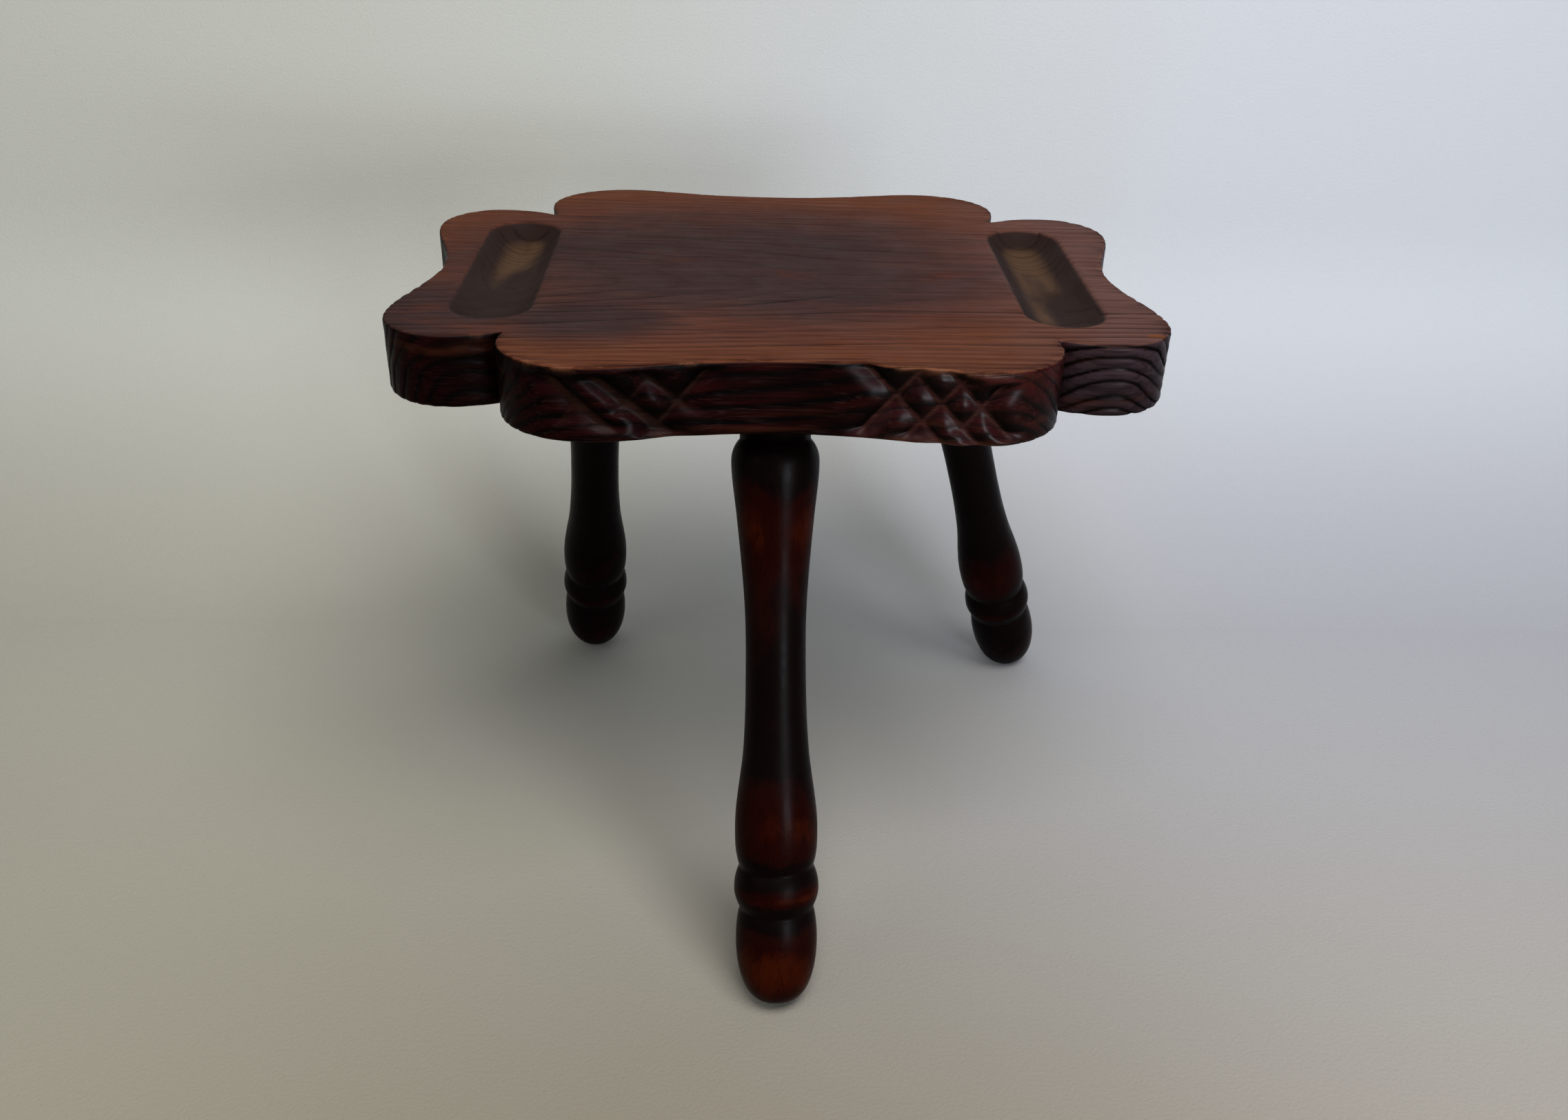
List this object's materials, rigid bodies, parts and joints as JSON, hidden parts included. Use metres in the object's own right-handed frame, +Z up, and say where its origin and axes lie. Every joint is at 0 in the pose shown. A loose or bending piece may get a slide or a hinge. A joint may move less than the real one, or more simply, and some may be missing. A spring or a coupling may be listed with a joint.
{
  "type": "three-legged stool",
  "caption": "Low rustic wooden stool: a thick scalloped plank seat with two dished hollows and a V-carved front edge, on splayed turned legs tenoned into its underside.",
  "frame": {"origin": "on the floor, at the middle of the stool's bounding box in X and Y", "axes": "+Z up, +X along the grain of the seat, -Y towards the carved long edge and the single front leg"},
  "size_m": [0.4028, 0.393, 0.347],
  "materials": {
    "scorched_plank": "scorched, wire-brushed and stained softwood with a worn satin wax",
    "stained_leg": "dark stained turned hardwood, satin to semi-gloss"
  },
  "bodies": {
    "root": {"seat_plank": "scorched_plank", "front_leg": "stained_leg", "back_left_leg": "stained_leg", "back_right_leg": "stained_leg"}
  },
  "joints": []
}
